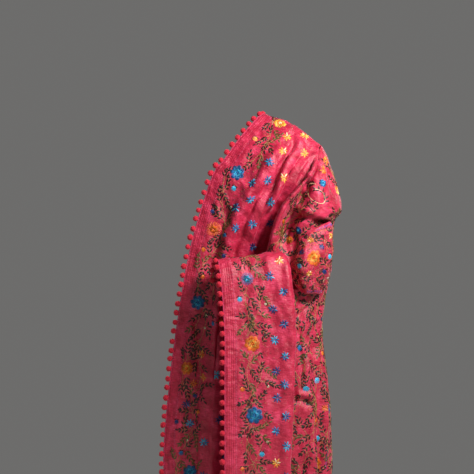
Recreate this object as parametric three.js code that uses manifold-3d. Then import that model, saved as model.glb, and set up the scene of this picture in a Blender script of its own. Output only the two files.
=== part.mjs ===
// An embroidered dupatta, a long rectangular stole, worn over the left shoulder.
//
// One half hangs down the front of the wearer, the other half hangs down the back, is brought
// round the left arm and is laid over the bent forearm. The wearer isn't part of the object:
// each stretch of cloth that shows is an open wall, hollow where the body and the arm go.
//
// Millimetres, +Z up, the wearer looks along -Y and +X is the wearer's left. The section tables
// measure x from the wearer's centre line and z from the shoulder; the outer group then moves
// the origin to the underside of the cloth on top of the shoulder.
import * as THREE from "three";
import { mergeVertices } from "three/addons/utils/BufferGeometryUtils.js";
import Module from "manifold-3d";

const wasm = await Module();
wasm.setup();

// Driving sizes
const CLOTH_THICKNESS = 1.6;
const SEAM_GAP = 0.3; // between two stretches that meet
const SHOULDER = new THREE.Vector3(157, 0, 2.2); // where the wearer's shoulder carries the cloth
const FRONT_HEM = -1150;
const BACK_HEM = -1120;
const FOREARM_HEM = -1060;

const POMPOM_RADIUS = 7;
const POMPOM_PITCH = 24;
const TAPE_WIDTH = 3;
const TAPE_THICKNESS = 1.6;
const TAPE_START = 0.03; // of the first step down the cloth, so that two tapes don't touch
const POMPOM_SINK = 2; // how far a pompom is sewn into its tape

// The forearm that carries the cloth: its wrist, and its direction to the elbow, seen from above.
const WRIST = new THREE.Vector2(26, -150);
const ELBOW = new THREE.Vector2(229, -10);

const PINK = { color: 0xc92f58, roughness: 0.62, metalness: 0 };
const RED = { color: 0xd8203c, roughness: 0.95, metalness: 0 };

// A point given along the forearm from the wrist, outward from its axis, and up.
function onForearm([along, out, z]) {
  const direction = ELBOW.clone().sub(WRIST).normalize();
  const outward = new THREE.Vector2(direction.y, -direction.x);
  const foot = WRIST.clone().addScaledVector(direction, along).addScaledVector(outward, out);
  return [foot.x, foot.y, z];
}

// Sections of the front half, from the ridge of the shoulder down to the hem.
const FRONT_SECTIONS = [
  { edge: [82.5, 0, 32], middle: [157, 0, 3], outer: [229, 0, -52] },
  { edge: [64, -45, -3], middle: [148, -55, -48], outer: [231, -38, -98] },
  { edge: [41, -75, -42], middle: [131, -88, -90], outer: [211, -56, -135] },
  { edge: [14, -98, -90], middle: [106, -100, -137], outer: [186, -62, -182] },
  { edge: [-16, -108, -135], middle: [75, -108, -190], outer: [147, -60, -240] },
  { edge: [-71, -118, -297], middle: [22, -96, -322], outer: [106, -22, -350] },
  { edge: [-103, -117, -450], middle: [12, -90, -470], outer: [108, -18, -490] },
  { edge: [-125, -116, -620], middle: [8, -98, -640], outer: [122, -34, -660] },
  { edge: [-138, -118, -800], middle: [7, -106, -810], outer: [134, -44, -820] },
  { edge: [-132, -118, -970], middle: [10, -110, -975], outer: [140, -48, -980] },
  { edge: [-130, -118, FRONT_HEM], middle: [12, -112, FRONT_HEM], outer: [143, -50, FRONT_HEM] },
];

// Sections of the back half, which hangs behind the wearer. The corner is behind the left arm.
const BACK_SECTIONS = [
  { spine: [82.5, 0, 32], middle: [157, 0, 3], corner: [229, 0, -52] },
  { spine: [72, 48, 4], middle: [152, 52, -42], corner: [238, 34, -92] },
  { spine: [58, 85, -50], middle: [148, 92, -95], corner: [242, 56, -145] },
  { spine: [45, 108, -130], middle: [145, 118, -160], corner: [245, 68, -200] },
  { spine: [38, 115, -240], middle: [140, 128, -250], corner: [241, 76, -262] },
  { spine: [36, 113, -345], middle: [140, 129, -350], corner: [236, 76, -356] },
  { spine: [36, 109, -440], middle: [142, 129, -445], corner: [221, 78, -450] },
  { spine: [36, 107, -540], middle: [142, 129, -540], corner: [216, 82, -540] },
  { spine: [36, 107, -700], middle: [144, 132, -700], corner: [229, 90, -700] },
  { spine: [37, 108, -900], middle: [145, 134, -900], corner: [228, 94, -900] },
  { spine: [38, 110, BACK_HEM], middle: [146, 137, BACK_HEM], corner: [232, 98, BACK_HEM] },
];

// Sections of the cloth round the upper arm, one for each of the back's upper sections. It starts
// at the back's corner and ends at the rolled fold in front of the arm.
const ARM_SECTIONS = [
  { outer: [237, -5, -58], front: [240, -13, -63], hollow: [239, -19, -67], trough: [236, -24, -70],
    strip: [238, -34, -74], inner: [231, -33, -78] },
  { outer: [255, 4, -98], front: [249, -34, -102], hollow: [243, -44, -105], trough: [236, -48, -107],
    strip: [236, -65, -110], inner: [227, -62, -114] },
  { outer: [269, 10, -150], front: [256, -40, -152], hollow: [233, -55, -152], trough: [211, -52, -152],
    strip: [210, -79, -152], inner: [200, -76, -156] },
  { outer: [280, 15, -211], front: [262, -42, -209], hollow: [222, -64, -206], trough: [182, -58, -203],
    strip: [174, -88, -203], inner: [161, -84, -206] },
  { outer: [250, 17, -252], front: [229, -36, -254], hollow: [197, -58, -258], trough: [157, -54, -262],
    strip: [150, -90, -262], inner: [137, -83, -265] },
  { outer: [246, 20, -350], front: [226, -28, -345], hollow: [199, -42, -328], trough: [160, -62, -301],
    strip: [127, -86, -302], inner: [112, -82, -305] },
];

// Sections of the cloth below the elbow, one for each of the back's lower sections. It starts at
// the back's corner and ends where it tucks under the stretch on the forearm.
const SIDE_SECTIONS = [
  { outer: [245, 22, -364], front: [213, -10, -404] },
  { outer: [222, 34, -462], front: [205, -14, -474] },
  { outer: [218, 38, -540], front: [202, -13, -540] },
  { outer: [231, 44, -700], front: [215, -9, -700] },
  { outer: [231, 46, -900], front: [214, -7, -900] },
  { outer: [236, 48, BACK_HEM], front: [218, -7, BACK_HEM] },
];

// Sections of the stretch laid over the forearm, from its hidden inner end, over the top and down
// to its hem: the pompom edge at the wrist, the middle, the outer fold, its turn, and the tuck.
// The places are given in the forearm's own measures.
const FOREARM_SECTIONS = [
  { edge: [-6, -34, -392], middle: [85, -36, -392], fold: [150, -37, -388], turn: [166, -37, -386],
    tuck: [178, -36, -386] },
  { edge: [-8, -29, -358], middle: [85, -32, -350], fold: [153, -33, -346], turn: [170, -32, -350],
    tuck: [182, -29, -356] },
  { edge: [-8, 0, -332], middle: [80, 2, -312], fold: [150, 0, -306], turn: [167, -1, -311],
    tuck: [181, -3, -326] },
  { edge: [-10, 33, -360], middle: [82, 42, -344], fold: [162, 46, -338], turn: [176, 34, -344],
    tuck: [181, 14, -362] },
  { edge: [-4, 37, -430], middle: [84, 47, -425], fold: [169, 51, -425], turn: [177, 28, -425],
    tuck: [176, 4, -402] },
  { edge: [0, 39, -520], middle: [86, 50, -520], fold: [172, 48, -520], turn: [177, 24, -520],
    tuck: [170, -2, -512] },
  { edge: [0, 39, -610], middle: [84, 50, -610], fold: [170, 47, -610], turn: [176, 22, -610],
    tuck: [168, -4, -610] },
  { edge: [0, 39, -740], middle: [82, 50, -740], fold: [164, 46, -740], turn: [171, 22, -740],
    tuck: [164, -6, -740] },
  { edge: [0, 40, -900], middle: [80, 51, -900], fold: [158, 46, -900], turn: [165, 22, -900],
    tuck: [158, -8, -900] },
  { edge: [0, 41, FOREARM_HEM], middle: [82, 53, FOREARM_HEM], fold: [160, 48, FOREARM_HEM],
    turn: [167, 24, FOREARM_HEM], tuck: [160, -8, FOREARM_HEM] },
];
const TUCK_ROW = 4; // the first of these sections that the side stretch meets

// Sections of the pouch of cloth that hangs round the elbow, top to bottom.
const ELBOW_SECTIONS = [
  { left: [185, -58, -316], front: [216, -62, -258], outer: [256, -11, -246], back: [256, 36, -256] },
  { left: [184.9, -58.4, -336], front: [221, -74, -290], outer: [262, -14, -284], back: [256, 40, -288] },
  { left: [184.9, -58.4, -356], front: [225, -79, -326], outer: [264, -16, -322], back: [256, 40, -322] },
  { left: [184, -57, -376], front: [223, -76, -360], outer: [259, -16, -358], back: [253, 38, -356] },
  { left: [185, -51, -394], front: [219, -65, -392], outer: [249, -16, -388], back: [247, 32, -382] },
  { left: [191, -46, -408], front: [212, -50, -414], outer: [237, -14, -412], back: [239, 22, -402] },
];

// Folds, a row for each: from top to bottom, where it lies across the cloth (0 to 1) and its height
// out of the surface (below 0 for a trough), then its half-width, also as a share of the cloth.
const FRONT_FOLDS = [
  { across: [0.14, 0.16, 0.16, 0.14, 0.12], height: [0, 1, 3, 7, 9], width: 0.09 },
  { across: [0.3, 0.36, 0.31, 0.29, 0.28], height: [0, -4, -5, -10, -12], width: 0.09 },
  { across: [0.46, 0.52, 0.45, 0.42, 0.42], height: [0, 9, 10, 17, 20], width: 0.08 },
  { across: [0.6, 0.65, 0.58, 0.56, 0.56], height: [0, -9, -10, -18, -20], width: 0.08 },
  { across: [0.73, 0.78, 0.72, 0.7, 0.7], height: [0, 10, 7, 14, 18], width: 0.08 },
  { across: [0.86, 0.89, 0.86, 0.84, 0.84], height: [0, -7, -6, -12, -16], width: 0.07 },
];
const BACK_FOLDS = [
  { across: [0.14, 0.13, 0.11, 0.1], height: [0, 5, 8, 12], width: 0.08 },
  { across: [0.3, 0.28, 0.26, 0.25], height: [0, -7, -12, -16], width: 0.08 },
  { across: [0.46, 0.42, 0.4, 0.4], height: [0, 9, 14, 18], width: 0.08 },
  { across: [0.6, 0.57, 0.55, 0.54], height: [0, -9, -14, -18], width: 0.08 },
  { across: [0.73, 0.72, 0.7, 0.69], height: [0, 9, 13, 16], width: 0.07 },
  { across: [0.86, 0.86, 0.85, 0.84], height: [0, -4, -7, -9], width: 0.06 },
];
const SIDE_FOLDS = [
  { across: [0.3, 0.31, 0.33], height: [0, 7, 10], width: 0.1 },
  { across: [0.52, 0.52, 0.53], height: [0, -9, -12], width: 0.09 },
  { across: [0.72, 0.71, 0.7], height: [0, 8, 10], width: 0.09 },
];
const FOREARM_FOLDS = [
  { across: [0.28, 0.28, 0.27, 0.26], height: [0, -2, -5, -7], width: 0.12 },
  { across: [0.5, 0.5, 0.49, 0.48], height: [0, 4, 6, 8], width: 0.1 },
];
// How far down its table the arm stretch starts, clear of the front one, and ends, clear of the side.
const ARM_START = 0.005;
const ARM_END = 0.997;

const CURVE_TYPE = "catmullrom";
const CURVE_TENSION = 0.5;
const STEP = 1e-3; // of a surface's range, for its slopes

function smoothCurve(points) {
  return new THREE.CatmullRomCurve3(points, false, CURVE_TYPE, CURVE_TENSION);
}

// The smooth curve down one named column of a table of sections.
function columnOf(sections, name) {
  const curve = smoothCurve(sections.map((section) => new THREE.Vector3(...section[name])));
  return (down) => curve.getPoint(THREE.MathUtils.clamp(down, 0, 1));
}

// The smooth surface across a list of columns, as a function of the share across and down it.
function loft(columns) {
  return (across, down) =>
    smoothCurve(columns.map((column) => column(down))).getPoint(THREE.MathUtils.clamp(across, 0, 1));
}

function normalAt(surface, across, down) {
  const alongAcross = surface(across + STEP, down).sub(surface(across - STEP, down));
  const alongDown = surface(across, down + STEP).sub(surface(across, down - STEP));
  return alongDown.cross(alongAcross).normalize();
}

// Where each fold lies across the cloth and how high it stands, as a function of the share down it.
function foldLines(folds) {
  return folds.map(({ across, height, width }) => {
    const curve = smoothCurve(across.map((share, i) => new THREE.Vector3(share, height[i], 0)));
    return (down) => {
      const { x, y } = curve.getPoint(THREE.MathUtils.clamp(down, 0, 1));
      return { across: x, height: y, width };
    };
  });
}

// The same surface with its folds raised out of it along its normal. "facing" is 1 or -1, so that
// a positive fold stands away from the wearer.
function pleat(surface, folds, facing) {
  const lines = foldLines(folds);
  return (across, down) => {
    const height = lines.reduce((sum, line) => {
      const fold = line(down);
      return sum + fold.height * Math.exp(-(((across - fold.across) / fold.width) ** 2));
    }, 0);
    return surface(across, down).addScaledVector(normalAt(surface, across, down), facing * height);
  };
}

const steps = (count, from = 0, to = 1) =>
  Array.from({ length: count + 1 }, (_, i) => from + ((to - from) * i) / count);

// The shares across the cloth at which a grid has its columns: one along each fold's line and
// "between" more in each space, so that every fold keeps its crest.
function columnsAlong(folds, between) {
  const lines = foldLines(folds);
  return (down) => spread([0, ...lines.map((line) => line(down).across), 1], between);
}

// A rising list of numbers with "between" more, evenly spaced, in each of its spaces.
function spread(knots, between) {
  return knots.slice(1).reduce(
    (list, knot, i) => [...list, ...steps(between + 1, knots[i], knot).slice(1)],
    [knots[0]],
  );
}

// A grid of points on a surface with their normals. "seams" names the edges where the stretch meets
// another one and gives the neighbour's normals there, if any: both then share the mean normal, and
// each is drawn back by half of the gap.
function gridOn(surface, columns, downSteps, seams = {}) {
  const shares = downSteps.map((down) => columns(down));
  const points = shares.map((row, j) => row.map((across) => surface(across, downSteps[j])));
  const normals = shares.map((row, j) => row.map((across) => normalAt(surface, across, downSteps[j])));
  const meet = (edge, inner, edgeNormals, neighbours) => {
    const drawn = edge.map((point, k) => {
      const normal = edgeNormals[k];
      if (!neighbours[k]) return point.clone();
      normal.add(neighbours[k]).normalize();
      const along = edge[Math.min(k + 1, edge.length - 1)].clone().sub(edge[Math.max(k - 1, 0)]);
      const back = normal.clone().cross(along).normalize();
      const side = Math.sign(back.dot(inner[k].clone().sub(point)));
      return point.clone().addScaledVector(back, (side * SEAM_GAP) / 2);
    });
    drawn.forEach((point, k) => edge[k].copy(point));
  };
  const column = (grid, i) => grid.map((row) => row.at(i));
  const meetColumn = (i, inner, neighbour) =>
    meet(column(points, i), column(points, inner), column(normals, i), downSteps.map(neighbour));
  if (seams.top) meet(points[0], points[1], normals[0], shares[0].map(seams.top));
  if (seams.start) meetColumn(0, 1, seams.start);
  if (seams.end) meetColumn(-1, -2, seams.end);
  return { points, normals };
}

// Two copies of a grid, "low" and "high" along its normals, joined round the rim into one closed body.
function closedLayers(grid, normals, low, high) {
  const rows = grid.length;
  const columns = grid[0].length;
  const positions = [];
  [high, low].forEach((offset) =>
    grid.forEach((row, j) =>
      row.forEach((point, i) => positions.push(...point.clone().addScaledVector(normals[j][i], offset))),
    ),
  );
  const top = (j, i) => j * columns + i;
  const bottom = (j, i) => rows * columns + j * columns + i;
  const faces = [];
  const quad = (a, b, c, d) => faces.push(a, b, c, a, c, d);
  for (let j = 0; j < rows - 1; j++) {
    for (let i = 0; i < columns - 1; i++) {
      quad(top(j, i), top(j + 1, i), top(j + 1, i + 1), top(j, i + 1));
      quad(bottom(j, i), bottom(j, i + 1), bottom(j + 1, i + 1), bottom(j + 1, i));
    }
    quad(top(j, 0), bottom(j, 0), bottom(j + 1, 0), top(j + 1, 0));
    quad(top(j, columns - 1), top(j + 1, columns - 1), bottom(j + 1, columns - 1), bottom(j, columns - 1));
  }
  for (let i = 0; i < columns - 1; i++) {
    quad(top(0, i), top(0, i + 1), bottom(0, i + 1), bottom(0, i));
    quad(top(rows - 1, i), bottom(rows - 1, i), bottom(rows - 1, i + 1), top(rows - 1, i + 1));
  }
  const geometry = new THREE.BufferGeometry();
  geometry.setAttribute("position", new THREE.Float32BufferAttribute(positions, 3));
  geometry.setIndex(faces);
  geometry.computeVertexNormals();
  return geometry;
}

function clothWall(name, { points, normals }) {
  const half = CLOTH_THICKNESS / 2;
  const mesh = new THREE.Mesh(
    closedLayers(points, normals, -half, half),
    new THREE.MeshStandardMaterial(PINK),
  );
  mesh.name = name;
  return mesh;
}

function solidFrom(geometry) {
  const bare = geometry.clone();
  bare.deleteAttribute("normal");
  bare.deleteAttribute("uv");
  const merged = mergeVertices(bare.index ? bare.toNonIndexed() : bare, 1e-3);
  return new wasm.Manifold(
    new wasm.Mesh({
      numProp: 3,
      vertProperties: new Float32Array(merged.attributes.position.array),
      triVerts: new Uint32Array(merged.index.array),
    }),
  );
}

// A row of pompoms sewn to a narrow tape that runs beside the first column of a wall's grid.
function pompomTrim(name, { points, normals }) {
  const stations = points.map((row, j) => {
    const above = points[Math.max(j - 1, 0)][0];
    const below = points[Math.min(j + 1, points.length - 1)][0];
    const normal = normals[j][0];
    const away = below.clone().sub(above).cross(normal).normalize();
    away.multiplyScalar(Math.sign(away.dot(row[0].clone().sub(row[1]))));
    return { edge: row[0], away, normal };
  });
  stations[0].edge = stations[0].edge.clone().lerp(stations[1].edge, TAPE_START);
  const beside = ({ edge, away }, distance) => edge.clone().addScaledVector(away, distance);
  const tape = closedLayers(
    stations.map((station) => [beside(station, SEAM_GAP + TAPE_WIDTH), beside(station, SEAM_GAP)]),
    stations.map(({ normal }) => [normal, normal]),
    -TAPE_THICKNESS / 2,
    TAPE_THICKNESS / 2,
  );
  const reach = SEAM_GAP + TAPE_WIDTH + POMPOM_RADIUS - POMPOM_SINK;
  const line = new THREE.CurvePath();
  stations.slice(1).forEach((station, j) =>
    line.add(new THREE.LineCurve3(beside(stations[j], reach), beside(station, reach))),
  );
  const count = Math.round(line.getLength() / POMPOM_PITCH);
  const trim = steps(count)
    .slice(1)
    .map((share) => line.getPointAt(share - 0.5 / count))
    .map((centre) => solidFrom(new THREE.IcosahedronGeometry(POMPOM_RADIUS, 0).translate(...centre)))
    .reduce((sum, pompom) => sum.add(pompom), solidFrom(tape));

  const { vertProperties, triVerts } = trim.getMesh();
  const geometry = new THREE.BufferGeometry();
  geometry.setAttribute("position", new THREE.Float32BufferAttribute(vertProperties, 3));
  geometry.setIndex(Array.from(triVerts));
  geometry.computeVertexNormals();
  const mesh = new THREE.Mesh(geometry, new THREE.MeshStandardMaterial(RED));
  mesh.name = name;
  return mesh;
}

// The stretches as surfaces. Neighbours are lofted to the same column where they meet.
const ELBOW_ROW = BACK_SECTIONS.length - SIDE_SECTIONS.length; // of the back's sections
const UPPER = ELBOW_ROW / (BACK_SECTIONS.length - 1); // the share of the back above the elbow
const LOWER = 1 - UPPER;
const TUCK = TUCK_ROW / (FOREARM_SECTIONS.length - 1); // the share of the forearm stretch above it
const forearmSections = FOREARM_SECTIONS.map((section) =>
  Object.fromEntries(Object.entries(section).map(([name, place]) => [name, onForearm(place)])),
);
const columnsOf = (sections) => Object.keys(sections[0]).map((name) => columnOf(sections, name));
const corner = columnOf(BACK_SECTIONS, "corner");
const tuck = columnOf(forearmSections, "tuck");
const surfaces = {
  front: pleat(loft(columnsOf(FRONT_SECTIONS)), FRONT_FOLDS, 1),
  back: pleat(loft(columnsOf(BACK_SECTIONS)), BACK_FOLDS, -1),
  arm: loft([(down) => corner(down * UPPER), ...columnsOf(ARM_SECTIONS)]),
  side: pleat(
    loft([
      (down) => corner(UPPER + down * LOWER),
      ...columnsOf(SIDE_SECTIONS),
      (down) => tuck(TUCK + down * (1 - TUCK)),
    ]),
    SIDE_FOLDS,
    -1,
  ),
  forearm: pleat(loft(columnsOf(forearmSections)), FOREARM_FOLDS, 1),
  elbow: loft(columnsOf(ELBOW_SECTIONS)),
};

// A neighbour's normals where it meets a stretch, turned to the same side of the cloth.
const ridgeOf = (surface) => (across) => normalAt(surface, across, 0).negate();
const backCornerOf = (from, share) => (down) => normalAt(surfaces.back, 1, from + down * share);
const outsideOfCorner = (down) =>
  down < UPPER
    ? normalAt(surfaces.arm, 0, down / UPPER)
    : normalAt(surfaces.side, 0, (down - UPPER) / LOWER);
const sideTuck = (down) =>
  down < TUCK ? null : normalAt(surfaces.side, 1, (down - TUCK) / (1 - TUCK)).negate();
const forearmTuck = (down) => normalAt(surfaces.forearm, 1, TUCK + down * (1 - TUCK)).negate();

// Facets: rows down the lower and the upper part of the back, and columns between two folds.
const LOWER_ROWS = 14;
const UPPER_ROWS = (LOWER_ROWS * UPPER) / LOWER;
const FRONT_ROWS = 26;
const FOREARM_TOP_ROWS = 10;
const ELBOW_ROWS = 10;
const BETWEEN_FOLDS = 2;
const BETWEEN_FOREARM_FOLDS = 4;
const ARM_COLUMNS = 18;
const ELBOW_COLUMNS = 12;

const grids = {
  front: gridOn(surfaces.front, columnsAlong(FRONT_FOLDS, BETWEEN_FOLDS), steps(FRONT_ROWS), {
    top: ridgeOf(surfaces.back),
  }),
  back: gridOn(surfaces.back, columnsAlong(BACK_FOLDS, BETWEEN_FOLDS), steps(UPPER_ROWS + LOWER_ROWS), {
    top: ridgeOf(surfaces.front),
    end: outsideOfCorner,
  }),
  arm: gridOn(surfaces.arm, () => steps(ARM_COLUMNS), steps(UPPER_ROWS, ARM_START, ARM_END), {
    start: backCornerOf(0, UPPER),
  }),
  side: gridOn(surfaces.side, columnsAlong(SIDE_FOLDS, BETWEEN_FOLDS), steps(LOWER_ROWS), {
    start: backCornerOf(UPPER, LOWER),
    end: forearmTuck,
  }),
  forearm: gridOn(
    surfaces.forearm,
    columnsAlong(FOREARM_FOLDS, BETWEEN_FOREARM_FOLDS),
    [...steps(FOREARM_TOP_ROWS, 0, TUCK).slice(0, -1), ...steps(LOWER_ROWS, TUCK, 1)],
    { end: sideTuck },
  ),
  elbow: gridOn(surfaces.elbow, () => steps(ELBOW_COLUMNS), steps(ELBOW_ROWS)),
};

const dupatta = new THREE.Group();
dupatta.position.copy(SHOULDER).negate();
dupatta.add(
  clothWall("front_fall", grids.front),
  clothWall("back_fall", grids.back),
  clothWall("arm_wrap", grids.arm),
  clothWall("side_fall", grids.side),
  clothWall("forearm_fall", grids.forearm),
  clothWall("elbow_fold", grids.elbow),
  pompomTrim("front_pompoms", grids.front),
  pompomTrim("back_pompoms", grids.back),
  pompomTrim("forearm_pompoms", grids.forearm),
);
export default dupatta;
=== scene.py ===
"""The looks of an embroidered dupatta, worn over the left shoulder and laid over the left forearm.

Sizes are millimetres. The section tables use the wearer's frame: x from the centre line to the
wearer's left, -y to the front, z up from the shoulder. The part's origin is under the cloth on top
of the shoulder. A place on the cloth is (across, down): its distance from the stretch's first
column, measured along the row, and its distance from the first row.
"""
import math

import bmesh
import bpy
import numpy as np
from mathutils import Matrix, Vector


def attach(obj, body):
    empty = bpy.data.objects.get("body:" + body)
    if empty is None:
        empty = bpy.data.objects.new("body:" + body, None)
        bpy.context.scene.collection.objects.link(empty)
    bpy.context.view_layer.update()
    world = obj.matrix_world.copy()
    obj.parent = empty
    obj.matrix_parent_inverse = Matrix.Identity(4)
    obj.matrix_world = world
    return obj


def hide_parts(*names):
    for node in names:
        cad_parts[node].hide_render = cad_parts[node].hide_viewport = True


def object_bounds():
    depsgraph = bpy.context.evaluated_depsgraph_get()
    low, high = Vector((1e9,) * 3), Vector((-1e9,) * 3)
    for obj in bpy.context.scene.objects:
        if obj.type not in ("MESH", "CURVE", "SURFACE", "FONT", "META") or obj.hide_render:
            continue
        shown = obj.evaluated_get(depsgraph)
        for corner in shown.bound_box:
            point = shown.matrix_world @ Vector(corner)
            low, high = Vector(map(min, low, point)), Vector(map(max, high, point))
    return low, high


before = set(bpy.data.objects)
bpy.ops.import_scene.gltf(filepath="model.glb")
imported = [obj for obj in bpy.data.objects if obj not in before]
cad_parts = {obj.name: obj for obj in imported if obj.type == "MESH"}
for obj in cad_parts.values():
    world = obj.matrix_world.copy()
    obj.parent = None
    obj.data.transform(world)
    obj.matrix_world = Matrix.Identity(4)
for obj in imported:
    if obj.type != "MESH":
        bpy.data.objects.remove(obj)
cad_box = [list(corner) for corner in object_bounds()]

MM = 0.001
SHOULDER = np.array([157, 0, 2.2])  # the part's origin, in the wearer's frame

# The cloth and its trims
THICKNESS = 1.2
POMPOM_RADIUS = 7
POMPOM_PITCH = 24
TAPE_WIDTH = 3
TAPE_THICKNESS = 1.4
TAPE_GAP = 0.3  # from the cloth's edge
POMPOM_SINK = 2  # into the tape

FRONT_HEM = -1150
BACK_HEM = -1120
FOREARM_HEM = -1060

# The forearm that carries the cloth, seen from above
WRIST = np.array([26, -150])
ELBOW = np.array([229, -10])

FRONT_SECTIONS = {
    "edge": [
        (82.5, 0, 28), (64, -45, -5), (41, -75, -43), (15, -98, -90), (-14, -108, -135),
        (-63, -118, -297), (-94, -117, -450), (-119, -116, -620), (-135, -118, -800),
        (-131, -118, -970), (-130, -118, FRONT_HEM),
    ],
    "middle": [
        (157, 0, -1), (148, -55, -49), (131, -88, -90), (106, -100, -137), (75, -108, -190),
        (22, -96, -322), (12, -90, -470), (8, -98, -640), (7, -106, -810), (10, -110, -975),
        (12, -112, FRONT_HEM),
    ],
    "outer": [
        (229, 0, -54), (231, -38, -98), (211, -56, -135), (186, -62, -182), (147, -60, -240),
        (106, -22, -350), (108, -18, -490), (122, -34, -660), (134, -44, -820), (140, -48, -980),
        (143, -50, FRONT_HEM),
    ],
}
BACK_SECTIONS = {
    "spine": [
        (82.5, 0, 28), (72, 48, 2), (58, 85, -50), (45, 108, -130), (38, 115, -240), (36, 113, -345),
        (36, 109, -440), (36, 107, -540), (36, 107, -700), (37, 108, -900), (38, 110, BACK_HEM),
    ],
    "middle": [
        (157, 0, -1), (152, 52, -43), (148, 92, -95), (145, 118, -160), (140, 128, -250),
        (140, 129, -350), (142, 129, -445), (142, 129, -540), (144, 132, -700), (145, 134, -900),
        (146, 137, BACK_HEM),
    ],
    "corner": [
        (229, 0, -54), (235, 34, -92), (237, 56, -145), (239, 68, -200), (235, 76, -262),
        (228, 76, -356), (212, 78, -450), (208, 82, -540), (225, 90, -700), (227, 94, -900),
        (232, 98, BACK_HEM),
    ],
}
ARM_SECTIONS = {
    "outer": [
        (230, -3, -56), (248, 4, -98), (261, 10, -150), (272, 15, -211), (243, 17, -252),
        (241, 24, -374),
    ],
    "front": [
        (229, -8, -61), (243, -34, -102), (249, -41, -152), (256, -43, -209), (224, -36, -254),
        (219, -24, -366),
    ],
    "hollow": [
        (227, -13, -66), (238, -44, -105), (229, -55, -152), (219, -63, -206), (196, -54, -258),
        (198, -42, -334),
    ],
    "trough": [
        (225, -18, -71), (233, -46, -107), (208, -48, -152), (180, -47, -203), (156, -36, -262),
        (166, -53, -342),
    ],
    "strip": [
        (224, -25, -76), (233, -66, -110), (208, -84, -154), (171, -98, -203), (147, -101, -262),
        (129, -82, -320),
    ],
    "inner": [
        (218, -28, -80), (225, -63, -114), (197, -81, -158), (157, -93, -206), (133, -93, -265),
        (113, -78, -322),
    ],
}
SIDE_SECTIONS = {
    "outer": [
        (238, 22, -364), (213, 34, -462), (210, 38, -540), (227, 44, -700), (230, 46, -900),
        (236, 48, BACK_HEM),
    ],
    "front": [
        (208, -10, -404), (197, -14, -474), (195, -13, -540), (211, -9, -700), (213, -7, -900),
        (218, -7, BACK_HEM),
    ],
}
FOREARM_SECTIONS = {
    "edge": [
        (-6, -34, -392), (-8, -29, -358), (-8, 0, -332), (-10, 33, -360), (-4, 37, -430), (0, 39, -520),
        (0, 39, -610), (0, 39, -740), (0, 40, -900), (0, 41, FOREARM_HEM),
    ],
    "middle": [
        (84, -36, -396), (84, -32, -357), (79, 2, -320), (81, 42, -350), (84, 47, -425), (86, 50, -520),
        (84, 50, -610), (82, 50, -740), (80, 51, -900), (82, 53, FOREARM_HEM),
    ],
    "fold": [
        (138, -37, -392), (140, -33, -353), (138, 0, -315), (148, 46, -347), (158, 51, -425),
        (165, 48, -520), (161, 47, -610), (155, 46, -740), (150, 46, -900), (154, 48, FOREARM_HEM),
    ],
    "turn": [
        (154, -37, -390), (157, -32, -356), (154, -1, -319), (161, 34, -351), (166, 28, -425),
        (170, 24, -520), (167, 22, -610), (162, 22, -740), (157, 22, -900), (161, 24, FOREARM_HEM),
    ],
    "tuck": [
        (166, -36, -390), (169, -29, -361), (167, -3, -333), (167, 14, -366), (165, 4, -402),
        (163, -2, -512), (159, -4, -610), (155, -6, -740), (150, -8, -900), (154, -8, FOREARM_HEM),
    ],
}
ELBOW_SECTIONS = {
    "left": [
        (178, -54, -324), (172, -61, -342), (170, -63, -358), (174, -60, -376), (182, -53, -394),
        (190, -46, -408),
    ],
    "front": [
        (212, -58, -270), (215, -75, -297), (216, -84, -328), (214, -80, -360), (212, -67, -392),
        (208, -50, -415),
    ],
    "outer": [
        (255, -11, -240), (260, -16, -280), (259, -20, -322), (252, -20, -358), (243, -18, -390),
        (232, -14, -415),
    ],
    "back": [
        (240, 40, -252), (240, 45, -288), (239, 46, -322), (238, 44, -354), (234, 38, -380),
        (228, 28, -402),
    ],
}

# The large folds, a row for each: from top to bottom, where it lies across the cloth (0 to 1) and
# its height (below 0 for a trough), then its half-width as a share of the cloth.
FRONT_FOLDS = [
    dict(across=[0.14, 0.16, 0.16, 0.14, 0.12], height=[0, 1, 3, 7, 9], width=0.09),
    dict(across=[0.3, 0.36, 0.31, 0.29, 0.28], height=[0, -4, -5, -10, -12], width=0.09),
    dict(across=[0.46, 0.52, 0.45, 0.42, 0.42], height=[0, 9, 10, 17, 20], width=0.08),
    dict(across=[0.6, 0.65, 0.58, 0.56, 0.56], height=[0, -9, -10, -18, -20], width=0.08),
    dict(across=[0.73, 0.78, 0.72, 0.7, 0.7], height=[0, 10, 7, 14, 18], width=0.08),
    dict(across=[0.86, 0.89, 0.86, 0.84, 0.84], height=[0, -7, -6, -12, -16], width=0.07),
]
BACK_FOLDS = [
    dict(across=[0.14, 0.13, 0.11, 0.1], height=[0, 5, 8, 12], width=0.08),
    dict(across=[0.3, 0.28, 0.26, 0.25], height=[0, -7, -12, -16], width=0.08),
    dict(across=[0.46, 0.42, 0.4, 0.4], height=[0, 9, 14, 18], width=0.08),
    dict(across=[0.6, 0.57, 0.55, 0.54], height=[0, -9, -14, -18], width=0.08),
    dict(across=[0.73, 0.72, 0.7, 0.69], height=[0, 9, 13, 16], width=0.07),
    dict(across=[0.86, 0.86, 0.85, 0.84], height=[0, -4, -7, -9], width=0.06),
]
SIDE_FOLDS = [
    dict(across=[0.3, 0.31, 0.33], height=[0, 7, 10], width=0.1),
    dict(across=[0.52, 0.52, 0.53], height=[0, -9, -12], width=0.09),
    dict(across=[0.72, 0.71, 0.7], height=[0, 8, 10], width=0.09),
]
FOREARM_FOLDS = [
    dict(across=[0.28, 0.28, 0.27, 0.26], height=[0, -2, -5, -7], width=0.12),
    dict(across=[0.5, 0.5, 0.49, 0.48], height=[0, 4, 6, 8], width=0.1),
]

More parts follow.
